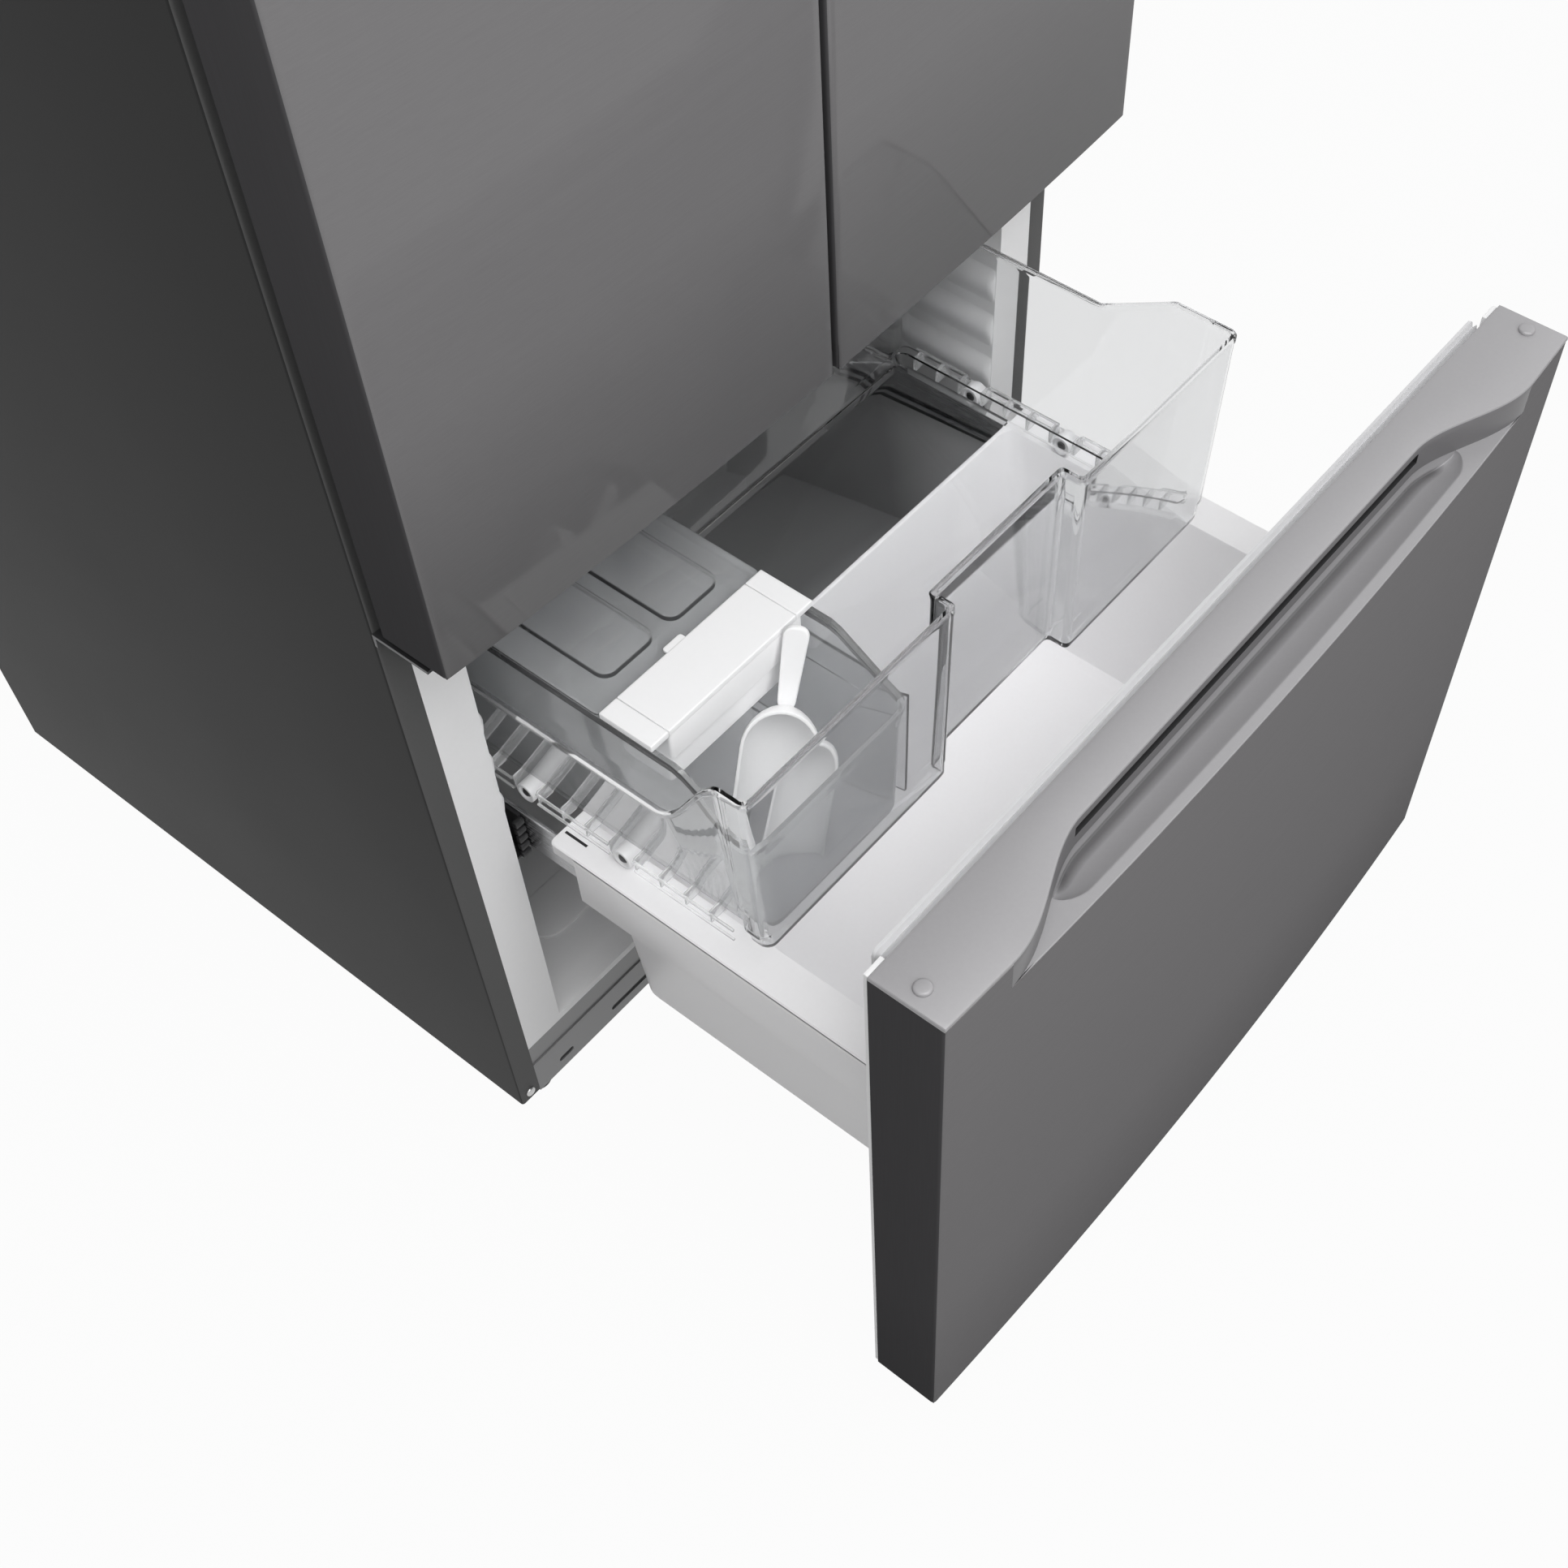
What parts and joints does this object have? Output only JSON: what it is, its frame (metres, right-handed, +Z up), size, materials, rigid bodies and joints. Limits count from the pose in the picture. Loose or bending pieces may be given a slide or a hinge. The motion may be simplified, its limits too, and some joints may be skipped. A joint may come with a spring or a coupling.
{
  "type": "multi-door refrigerator",
  "caption": "Bottom-freezer refrigerator with hinged upper doors and a pull-out freezer drawer that holds a deep bin, a rolling clear basket and a lidded ice bin.",
  "frame": {"origin": "on the floor, under the middle of the refrigerator's box with the drawer pulled out as at rest", "axes": "+X to the right as seen from the front, +Y towards the back, +Z up"},
  "size_m": [0.836, 1.3094, 1.778],
  "materials": {
    "case_paint": "satin",
    "dark_stainless": "brushed",
    "liner_white": "satin",
    "foam": "matt",
    "zinc_steel": "satin",
    "rail_grey": "satin",
    "black_plastic": "matt",
    "cap_grey": "satin",
    "compressor_black": "semi-gloss",
    "fin_aluminium": "plain",
    "gasket_white": "matt",
    "clear_plastic": "clear",
    "smoke_plastic": "translucent",
    "shelf_glass": "clear"
  },
  "bodies": {
    "cabinet": {"outer_case": "case_paint", "back_panel": "zinc_steel", "foam_body": "foam", "fridge_liner": "liner_white", "freezer_liner": "liner_white", "divider_rail": "rail_grey", "base_rail": "rail_grey", "base_tray": "zinc_steel", "compressor": "compressor_black", "condenser_fan_frame": "black_plastic", "condenser": "fin_aluminium", "drain_pan": "black_plastic", "rear_cover": "zinc_steel", "evaporator": "fin_aluminium", "evaporator_cover": "liner_white", "air_duct": "liner_white", "lamp_lens": "clear_plastic", "shelf_frames": "liner_white", "shelf_glass": "shelf_glass", "crisper_drawers": "clear_plastic", "top_hinges": "zinc_steel", "mid_hinges": "zinc_steel", "hinge_covers": "case_paint", "slide_outer": "black_plastic"},
    "front_foot_left": {"front_foot_left": "black_plastic"},
    "front_foot_right": {"front_foot_right": "black_plastic"},
    "rear_wheels": {"rear_wheels": "black_plastic"},
    "condenser_fan": {"condenser_fan": "black_plastic"},
    "evaporator_fan": {"evaporator_fan": "black_plastic"},
    "left_door": {"left_door_skin": "dark_stainless", "left_door_core": "foam", "left_door_caps": "black_plastic", "left_door_gasket": "gasket_white", "left_door_liner": "liner_white", "left_door_bins": "clear_plastic"},
    "right_door": {"right_door_skin": "dark_stainless", "right_door_core": "foam", "right_door_caps": "black_plastic", "right_door_gasket": "gasket_white", "right_door_liner": "liner_white", "right_door_bins": "clear_plastic"},
    "mullion_flap": {"mullion_flap": "black_plastic"},
    "slide_mid": {"slide_mid": "zinc_steel"},
    "freezer_drawer": {"drawer_skin": "dark_stainless", "drawer_core": "foam", "drawer_bottom_cap": "black_plastic", "drawer_top_cap": "cap_grey", "cap_plugs": "cap_grey", "drawer_gasket": "gasket_white", "drawer_liner": "liner_white", "slide_inner": "zinc_steel", "freezer_bin": "liner_white"},
    "upper_basket": {"upper_basket": "clear_plastic", "basket_divider": "clear_plastic", "ice_bin": "smoke_plastic", "ice_scoop": "liner_white"},
    "basket_rollers_rear": {"basket_rollers_rear": "liner_white"},
    "basket_rollers_front": {"basket_rollers_front": "liner_white"},
    "ice_lid": {"ice_lid": "smoke_plastic", "ice_bar": "liner_white"}
  },
  "joints": [
    {"name": "left_door_hinge", "type": "hinge", "parent": "cabinet", "child": "left_door", "pos_m": [-0.398, -0.15425, 1.24], "axis": [0, 0, -1], "range_deg": [0, 120]},
    {"name": "right_door_hinge", "type": "hinge", "parent": "cabinet", "child": "right_door", "pos_m": [0.398, -0.15425, 1.24], "axis": [0, 0, 1], "range_deg": [0, 120]},
    {"name": "mullion_fold", "type": "hinge", "parent": "left_door", "child": "mullion_flap", "pos_m": [-0.036, -0.12785, 1.226], "axis": [0, 0, 1], "range_deg": [0, 80]},
    {"name": "drawer_slide", "type": "slide", "parent": "cabinet", "child": "freezer_drawer", "axis": [0, -1, 0], "range_m": [-0.4446, 0.03]},
    {"name": "middle_slide", "type": "slide", "parent": "cabinet", "child": "slide_mid", "axis": [0, -1, 0], "range_m": [-0.2223, 0.015]},
    {"name": "basket_slide", "type": "slide", "parent": "freezer_drawer", "child": "upper_basket", "axis": [0, -1, 0], "range_m": [-0.035, 0.17]},
    {"name": "rear_rollers_spin", "type": "hinge", "parent": "upper_basket", "child": "basket_rollers_rear", "pos_m": [0, -0.12025, 0.4423], "axis": [1, 0, 0], "continuous": true},
    {"name": "front_rollers_spin", "type": "hinge", "parent": "upper_basket", "child": "basket_rollers_front", "pos_m": [0, -0.23225, 0.4423], "axis": [1, 0, 0], "continuous": true},
    {"name": "ice_lid_lift", "type": "slide", "parent": "upper_basket", "child": "ice_lid", "axis": [0, 0, 1], "range_m": [0, 0.06]},
    {"name": "left_foot_turn", "type": "hinge", "parent": "cabinet", "child": "front_foot_left", "pos_m": [-0.381, -0.09925, 0.01], "axis": [0, 0, 1], "continuous": true},
    {"name": "right_foot_turn", "type": "hinge", "parent": "cabinet", "child": "front_foot_right", "pos_m": [0.381, -0.09925, 0.01], "axis": [0, 0, 1], "continuous": true},
    {"name": "rear_wheels_spin", "type": "hinge", "parent": "cabinet", "child": "rear_wheels", "pos_m": [0, 0.60975, 0.014], "axis": [1, 0, 0], "continuous": true},
    {"name": "condenser_fan_spin", "type": "hinge", "parent": "cabinet", "child": "condenser_fan", "pos_m": [-0.06, 0.51775, 0.106], "axis": [1, 0, 0], "continuous": true},
    {"name": "evaporator_fan_spin", "type": "hinge", "parent": "cabinet", "child": "evaporator_fan", "pos_m": [0, 0.48075, 0.624], "axis": [0, 1, 0], "continuous": true}
  ],
  "couplings": [
    {"joint": "middle_slide", "follows": "drawer_slide", "ratio": 0.5},
    {"joint": "rear_rollers_spin", "follows": "basket_slide", "rad_per_m": 100},
    {"joint": "front_rollers_spin", "follows": "basket_slide", "rad_per_m": 100}
  ]
}
